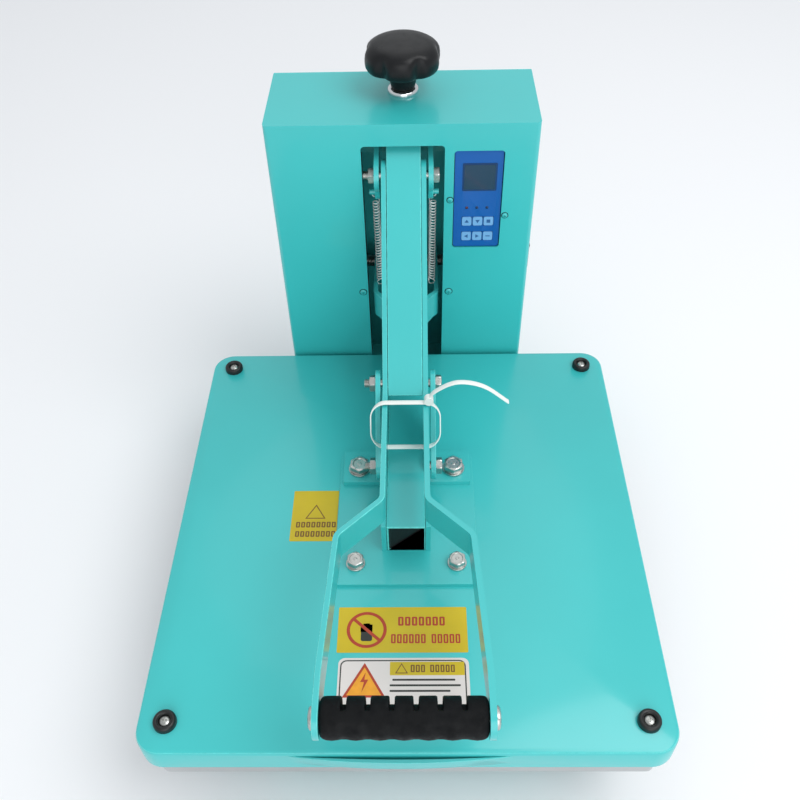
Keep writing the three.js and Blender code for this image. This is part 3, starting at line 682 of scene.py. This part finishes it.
def make_linkage():
    """Side plates, tubes and links, with the bolts of their pivots."""
    for name, side in SIDES:
        polished(f"yoke_{name}", PAINT, 0.6, 2, 45)
        polished(f"link_{name}", PAINT, 0.5, 2, 45)
        polished(f"lever_plate_{name}", PAINT, 0.6, 2, 45)
        for stem in ("link_top_bolt", "link_arm_bolt"):
            node = f"{stem}_{name}"
            bolt = joined(node, side_bolt(node, centre(node), side))
            piece(f"{node}_fine", bolt, ZINC, body_of(node), [node], 30)
    polished("arm_tube", PAINT, 1.2, 3)
    polished("arm_end_cap", BLACK, 0.8, 2)
    polished("lever_tube", PAINT, 1.5, 3, 45)
    polished("adjuster_clevis", PAINT, 0.5, 2, 45)
    pivot = PIVOT["handle_swing"]
    left, right = low("link_left").x, high("link_right").x
    parts = [turned("axle", Vector((left, pivot.y, pivot.z)), RIGHT, [(4, 0), (4, (right - left) / MM)], 24)]
    for _, side in SIDES:
        parts += side_bolt("link_top_bolt_right", pivot, side)[1:]
    piece("adjuster_pivot_bolt_fine", joined("axle", parts), ZINC, "adjuster",
          ["adjuster_pivot_bolt"], 30)


def hook(end, outward, aside, share):
    """A point on a spring's end hook, from 0 where it meets the coil to 1 at its tip."""
    angle = math.radians(HOOK_SWEEP * share)
    away = HOOK_RISE + HOOK_RADIUS * math.sin(angle)
    return end + outward * away * MM + aside * HOOK_RADIUS * math.cos(angle) * MM


def spring_path(top, bottom, radius, side):
    """The centre line of a spring's wire, from its upper hook to its lower one."""
    axis = (bottom - top).normalized()
    first, second = basis(axis)
    first = first * -side
    coil_top = top + axis * SPRING_DROP * MM
    turns = int(((bottom - top).length / MM - SPRING_DROP) / SPRING_PITCH)
    steps = turns * 16
    path = [hook(top, -axis, first, 1 - i / 9) for i in range(10)]
    for i in range(steps + 1):
        angle = 2 * math.pi * i / 16
        reach = first * math.cos(angle) + second * math.sin(angle)
        path.append(coil_top.lerp(bottom, i / steps) + reach * radius)
    path += [hook(bottom, axis, first, i / 9) for i in range(10)]
    return path, first


def make_springs():
    """Return springs with a hook at each end."""
    wire = SPRING_WIRE_RADIUS * MM
    for name, side in SIDES:
        node = f"spring_{name}"
        box_low, box_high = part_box(node)
        radius = (box_high.x - box_low.x) / 2
        x = (box_high.x + box_low.x) / 2
        top = Vector((x, box_low.y + radius, box_high.z))
        bottom = Vector((x, box_high.y - radius, box_low.z))
        path, up = spring_path(top, bottom, radius - wire, side)
        mesh = inked(swept(node, path, wire, up), SPRING_WIRE)
        obj = bpy.data.objects.new(f"{node}_coil", mesh)
        bpy.context.scene.collection.objects.link(obj)
        mesh.shade_smooth()
        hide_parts(node)
        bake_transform(obj)


def grip_stations(length, pitch):
    """Places along the grip, in millimetres, with how far its end is drawn in at each."""
    stations = {}
    for place, inset in ((0, 3.2), (0.5, 1.7), (1.4, 0.7), (2.8, 0.15)):
        stations[place] = inset
        stations[length - place] = inset
    for i in range(1, GRIP_SEGMENTS):
        for offset in (NOTCH_HALF, NOTCH_HALF + 0.3, NOTCH_HALF + 1.1):
            stations[i * pitch - offset] = 0
            stations[i * pitch + offset] = 0
    for i in range(GRIP_SEGMENTS):
        for share in (0.3, 0.5, 0.7):
            stations[(i + share) * pitch] = 0
    return sorted(stations.items())


def make_grip():
    """Rubber grip: notched on the side that the fingers reach, scalloped in front."""
    start, end = low("handle_grip"), high("handle_grip")
    middle = (start + end) / 2
    origin = Vector((start.x, middle.y, middle.z))
    length = (end.x - start.x) / MM
    pitch = length / GRIP_SEGMENTS
    first, second = basis(RIGHT)
    rear = Vector((0, 0.86, 0.5)).normalized()

    def radius_at(place, inset):
        nearest = round(place / pitch)
        from_notch = abs(place - nearest * pitch) if 0 < nearest < GRIP_SEGMENTS else pitch
        belly = 0.5 - 0.5 * math.cos(2 * math.pi * place / pitch)

        def radius(angle):
            direction = first * math.cos(angle) + second * math.sin(angle)
            facing = direction.dot(rear)
            reach = GRIP_RADIUS - inset
            if facing > 0.42 and from_notch <= NOTCH_HALF + 0.35:
                depth = min(1, (facing - 0.42) / 0.12)
                reach -= NOTCH_DEPTH * depth * (1 if from_notch <= NOTCH_HALF + 0.05 else 0.12)
            if facing < -0.1:
                reach += (0.9 * belly - 0.7) * min(1, (-0.1 - facing) / 0.4)
            return reach * MM
        return radius

    rings = [ring(origin + RIGHT * place * MM, RIGHT, radius_at(place, inset), 96)
             for place, inset in grip_stations(length, pitch)]
    piece("handle_grip_fine", lofted("grip", rings), RUBBER, "handle", ["handle_grip"], 50)
    make_grip_screws(middle)


def make_grip_screws(middle):
    """The two screws that hold the grip's rod; the right one stands for the rod."""
    rod_low, rod_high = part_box("grip_rod")
    for name, side in SIDES:
        tip = Vector((rod_low.x if side < 0 else rod_high.x, middle.y, middle.z))
        inward = Vector((-side, 0, 0))
        head = [
            turned("head", tip, inward, [(4.5, 0), (6.6, 0.4), (7.6, 1.2), (7.9, 2.2), (7.9, 3)]),
            turned("shank", tip + inward * 2.9 * MM, inward, [(6, 0), (6, 6)], 32),
        ]
        piece(f"grip_screw_{name}", joined("screw", head), ZINC, "handle",
              ["grip_rod"] if side > 0 else (), 30)


def strap_ring(point, heading, width_way):
    """One section of a strap: flat, with soft edges, square to its heading."""
    across = (width_way - heading * width_way.dot(heading)).normalized()
    out = heading.cross(across)
    return [point + across * u * MM + out * v * MM for u, v in rounded(-2.3, 2.3, -0.55, 0.55, 0.35, 2)]


def tie_loop(bottom, top):
    """The closed strap between its lower and upper crossing."""
    rise = (top - bottom).normalized()
    height = (top - bottom).length / MM
    normal = RIGHT.cross(rise)
    loop = [bottom + mm(x, 0, 0) + rise * y * MM for x, y in rounded(-TIE_HALF, TIE_HALF, 0, height, 13, 10)]
    rings = []
    for i, point in enumerate(loop):
        heading = (loop[(i + 1) % len(loop)] - loop[i - 1]).normalized()
        level = abs(heading.x) ** 3
        rings.append(strap_ring(point, heading, normal * (1 - level) - REAR * level))
    return lofted("strap", rings, closed=True)


def make_cable_tie():
    """Nylon tie around both lever plates: flat over their edges, with a free tail on the right."""
    box_low, box_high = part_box("cable_tie")
    deck = high("cover").z
    bottom = Vector((0, box_low.y + 2.6 * MM, deck + TIE_LOW * MM))
    top = Vector((0, box_high.y - 2.4 * MM, deck + TIE_HIGH * MM))
    start = top + mm(18, 0, 1.8)
    corners = [start + mm(x, 0, z) for x, z in ((0, 0), (8, 12), (26, 22), (48, 17), (70, -2))]
    path = smooth_path(corners, 7)
    tail = lofted("tail", [strap_ring(point, heading_at(path, i), -REAR) for i, point in enumerate(path)])
    outline = [(3.9 * math.cos(a), 4.4 * math.sin(a)) for a in (2 * math.pi * k / 24 for k in range(24))]
    block = slab("head", outline, top + mm(20.2, 2.9, 3.0), RIGHT, UP, 5.8)
    tie = joined("tie", [tie_loop(bottom, top), tail, block])
    piece("cable_tie_fine", tie, NYLON, "handle", ["cable_tie"], 45)


# ---------------------------------------------------------------- case, knob, controls

def lobed(reach, depth):
    """A radius with six valleys, each as deep as the given depth."""
    def radius(angle):
        period = math.pi / 3
        offset = (angle + LOBE_OFFSET + period / 2) % period - period / 2
        return (reach - depth * math.exp(-(offset / LOBE_SPREAD) ** 2)) * MM
    return radius


def make_knob():
    """Six-lobed hand knob whose lobes fade into a round, domed top, on its screw."""
    base_low, base_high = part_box("pressure_knob")
    screw = centre("pressure_screw")
    origin = Vector((screw.x, screw.y, base_low.z))
    total = (base_high.z - base_low.z) / MM
    rim = total - KNOB_DEPTH
    levels = [
        (10.8, 0, 0), (11.0, 1.5, 0), (12.0, 6, 0), (13.8, 10, 0), (16.2, rim - 1.6, 0), (24, rim - 0.5, 0.8),
        (29.6, rim, 2.8), (32.0, rim + 1.3, 4.0), (33.2, rim + 3.6, 4.4), (33.7, rim + 7, 4.4),
        (33.6, rim + 11, 4.2), (33.0, total - 9.4, 3.6), (31.8, total - 6.9, 2.6), (30.2, total - 5.1, 1.4),
        (28.3, total - 3.7, 0.5), (26.0, total - 2.4, 0.1), (22.5, total - 1.3, 0), (17, total - 0.6, 0),
        (9, total - 0.2, 0), (2, total, 0),
    ]
    rings = [ring(origin + UP * level * MM, UP, lobed(reach, depth), 144) for reach, level, depth in levels]
    piece("pressure_knob_fine", lofted("knob", rings), KNOB, "knob", ["pressure_knob"], 60)
    make_bushing(screw)
    foot = Vector((screw.x, screw.y, low("pressure_screw").z))
    length = (high("pressure_screw").z - foot.z) / MM
    piece("pressure_screw_fine", thread(foot, UP, 7.9, length, 2.0), ZINC, "knob",
          ["pressure_screw"], 30)


def make_bushing(screw):
    """The bright flanged bushing that the screw passes through."""
    base = low("screw_bushing").z
    rise = (high("case_shell").z - base) / MM
    profile = [(8.3, 0), (10.8, 0), (10.8, rise), (13.7, rise), (14, rise + 0.4), (14, rise + 2.2),
               (13.3, rise + 3.6), (11.6, rise + 4.8), (9.4, rise + 5), (8.3, rise + 4.2)]
    bushing = turned("bushing", Vector((screw.x, screw.y, base)), UP, profile, 64, closed=True)
    piece("screw_bushing_fine", bushing, CHROME, "base", ["screw_bushing"], 35)


KEY_ICONS = (
    [(-2, -1.4), (2, -1.4), (0, 2)],
    [(-2, 1.4), (0, -2), (2, 1.4)],
    [(-1.7, -1.7), (1.7, -1.7), (1.7, 1.7), (-1.7, 1.7)],
    [(-1.8, 0), (1.4, -2), (1.4, 2)],
    [(-1.4, -2), (1.8, 0), (-1.4, 2)],
    [(-2, -0.5), (2, -0.5), (2, 0.5), (-2, 0.5)],
)


def make_screen():
    """The controller's screen in its darker surround."""
    width, height = extent("lcd_window")
    screen = low("lcd_window")
    corner = Vector((screen.x, low("controller_body").y + 0.1 * MM, screen.z))
    border = rounded(-1.6, width + 1.6, -1.6, height + 1.6, 1.2, 4)
    window = rounded(0, width, 0, height, 0.6, 3)
    surround = inked(slab("surround", border, corner, RIGHT, UP, 0.4), LCD_FRAME)
    glass = inked(slab("glass", window, corner + mm(0, -0.4, 0), RIGHT, UP, 0.25), LCD)
    piece("lcd_window_fine", joined("lcd", [surround, glass]), LCD, "base", ["lcd_window"])


def make_lamps():
    """Three small lamps between the screen and the keys."""
    key_top = high("key_1").z
    level = key_top + (low("lcd_window").z - key_top) * 0.34
    profile = [(1.4, 0), (1.4, 0.15), (1.2, 0.4), (0.7, 0.6), (0.2, 0.65)]
    lamps = []
    for i, lens in enumerate((LAMP_RED, LAMP, LAMP)):
        middle = Vector((low("key_1").x + (3.9 + 9.2 * i) * MM, low("controller_body").y, level))
        lamps.append(inked(turned("lamp", middle, -REAR, profile, 24), lens))
    piece("panel_lamps", joined("lamps", lamps), LAMP, "base")


def make_controls():
    """Controller, keys, switch and inlet."""
    polished("controller_body", PANEL_BLUE, 0.4)
    make_screen()
    make_lamps()
    for i, icon in enumerate(KEY_ICONS):
        node = f"key_{i + 1}"
        key_low, key_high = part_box(node)
        width, height = extent(node)
        back = Vector((key_low.x, key_high.y, key_low.z))
        depth = (key_high.y - key_low.y) / MM
        pad = inked(slab("pad", rounded(0, width, 0, height, 1.4, 5), back, RIGHT, UP, depth), KEY_FILM)
        middle = Vector(((key_low.x + key_high.x) / 2, key_low.y, (key_low.z + key_high.z) / 2))
        legend = inked(slab("icon", icon, middle, RIGHT, UP, 0.08), ICON)
        piece(f"{node}_fine", joined(node, [pad, legend]), KEY_FILM, body_of(node), [node])
    polished("switch_bezel", BLACK, 0.6)
    polished("power_rocker", BLACK, 0.6, 3)
    polished("power_inlet", BLACK, 0.6)


# Across, height over the cover and head radius of each screw on the front of the case.
CASE_SCREWS = ((-42, 79, 3.2), (42, 79, 3.2), (41.3, 184, 2.6), (91.6, 167, 2.6))


def make_case():
    """Case and rear panel with their screws."""
    polished("case_shell", PAINT, 1.4, 3, 45)
    polished("rear_panel", PAINT, 0.5)
    front = low("case_shell").y
    deck = high("cover").z
    for i, (x, z, radius) in enumerate(CASE_SCREWS):
        spot = Vector((x * MM, front, deck + z * MM))
        cross_screw(f"case_screw_{i + 1}", spot, -REAR, radius, "base", PAINT, 1.6)
        # A thin black ring around each screw head: painted shade standing for the shadowed gap between the head
        # and the case.
        rim = radius + 0.7
        profile = [(radius, 0), (rim, 0), (rim, 0.12), (radius, 0.12)]
        joint = turned("joint", spot, -REAR, profile, 40, closed=True)
        piece(f"case_screw_gap_shade_{i + 1}", joint, BLACK, "base")
    back = high("rear_panel").y
    left, right = low("case_shell").x, high("case_shell").x
    bottom, top = low("rear_panel").z, high("rear_panel").z
    for i, x in enumerate((left + 12 * MM, right - 12 * MM)):
        for j, share in enumerate((0.05, 0.5, 0.95)):
            spot = Vector((x, back, bottom + (top - bottom) * share))
            cross_screw(f"rear_screw_{i}_{j}", spot, REAR, 3.4, "base", height=2)


def make_vent_filter():
    """Dark foam behind the louvres of the rear panel."""
    corner = high("case_shell")
    outline = rounded(corner.x / MM - 62, corner.x / MM - 9, -156, -78, 3)
    origin = Vector((0, high("rear_panel").y - 2.4 * MM, corner.z + 40 * MM))
    foam = slab("filter", outline, origin, RIGHT, UP, 5)
    piece("vent_filter", foam, GROMMET, "base")


FOOT_PROFILE = [(4, 1.5), (5, 0), (12, 0), (13.3, 0.7), (14.4, 3), (15, 6), (15, 10.5), (14.2, 12)]


def make_base():
    """Frame, uprights and feet, with the bolt of the main pivot."""
    polished("base_frame", PAINT, 0.8)
    polished("top_bridge", PRIMER, 0.8)
    polished("relay", BLACK, 0.8)
    for name, _ in SIDES:
        polished(f"upright_{name}", PRIMER, 0.6)
        for end in ENDS:
            node = f"foot_{end}_{name}"
            foot = turned(node, base_centre(node), UP, FOOT_PROFILE)
            piece(f"{node}_fine", foot, RUBBER, "base", [node], 45)
    pivot = PIVOT["platen_open"]
    plate = high("upright_right").x
    nut = Vector((-plate - 0.3 * MM, pivot.y, pivot.z))
    parts = [
        thread(Vector((-plate, pivot.y, pivot.z)), RIGHT, 6, 2 * plate / MM, 1.75),
        hex_head(Vector((plate + 0.3 * MM, pivot.y, pivot.z)), RIGHT, 19, 8.5),
        hex_head(nut, -RIGHT, 19, 9.5, True),
        thread(nut - RIGHT * 9 * MM, -RIGHT, 5.9, 3.4),
    ]
    piece("main_pivot_bolt_fine", joined("pivot", parts), ZINC, "base", ["main_pivot_bolt"], 30)


# ---------------------------------------------------------------- camera, floor and light

def make_camera():
    """The viewing angle from above the operator's head, looking down at the cover."""
    pitch, yaw, roll = (math.radians(angle) for angle in CAMERA_TURN)
    forward = Vector((math.sin(yaw) * math.cos(pitch), math.cos(yaw) * math.cos(pitch), -math.sin(pitch)))
    level = Vector((math.cos(yaw), -math.sin(yaw), 0))
    above = level.cross(forward)
    right = level * math.cos(roll) + above * math.sin(roll)
    up = above * math.cos(roll) - level * math.sin(roll)
    data = bpy.data.cameras.new("camera")
    data.lens = CAMERA_LENS
    data.sensor_width = 36
    camera = bpy.data.objects.new("camera", data)
    bpy.context.scene.collection.objects.link(camera)
    eye = Vector((0, high("cover").y, high("cover").z)) + mm(*CAMERA_OFFSET)
    rotation = Matrix((right, up, -forward)).transposed()
    camera.matrix_world = Matrix.Translation(eye) @ rotation.to_4x4()
    bpy.context.scene.camera = camera


def make_floor():
    """A plain pale floor under the feet."""
    material = bpy.data.materials.new("pale_floor")
    material.use_nodes = True
    shader = material.node_tree.nodes["Principled BSDF"]
    shader.inputs["Base Color"].default_value = linear(244, 245, 247)
    shader.inputs["Roughness"].default_value = 0.8
    half = 6
    mesh = bpy.data.meshes.new("floor")
    corners = [(-half, -half, 0), (half, -half, 0), (half, half, 0), (-half, half, 0)]
    mesh.from_pydata(corners, [], [(0, 1, 2, 3)])
    mesh.materials.append(material)
    floor = bpy.data.objects.new("floor", mesh)
    bpy.context.scene.collection.objects.link(floor)


def area_light(name, place, target, size, power):
    """A round soft light aimed at a point."""
    data = bpy.data.lights.new(name, "AREA")
    data.shape = "DISK"
    data.size = size
    data.energy = power
    light = bpy.data.objects.new(name, data)
    bpy.context.scene.collection.objects.link(light)
    aim = (Vector(target) - Vector(place)).to_track_quat("-Z", "Y")
    light.matrix_world = Matrix.Translation(place) @ aim.to_matrix().to_4x4()


def make_light():
    """Soft studio light from the right, above and in front, in a pale room."""
    area_light("key", (1.1, -0.5, 2.1), (0, 0, 0.15), 1.6, 21)
    area_light("overhead", (0.1, 1.3, 2.3), (0, 0, 0.1), 2.4, 8)
    area_light("front", (0.3, -2.6, 1.1), (0, 0, 0.2), 2.4, 24)
    world = bpy.data.worlds.new("studio")
    bpy.context.scene.world = world
    world.use_nodes = True
    background = world.node_tree.nodes["Background"]
    background.inputs["Color"].default_value = linear(240, 243, 246)
    background.inputs["Strength"].default_value = 0.72
    bpy.context.scene.view_settings.view_transform = "Standard"


make_camera()
make_head()
make_labels()
make_linkage()
make_springs()
make_grip()
make_cable_tie()
make_knob()
make_controls()
make_case()
make_vent_filter()
make_base()
make_floor()
make_light()
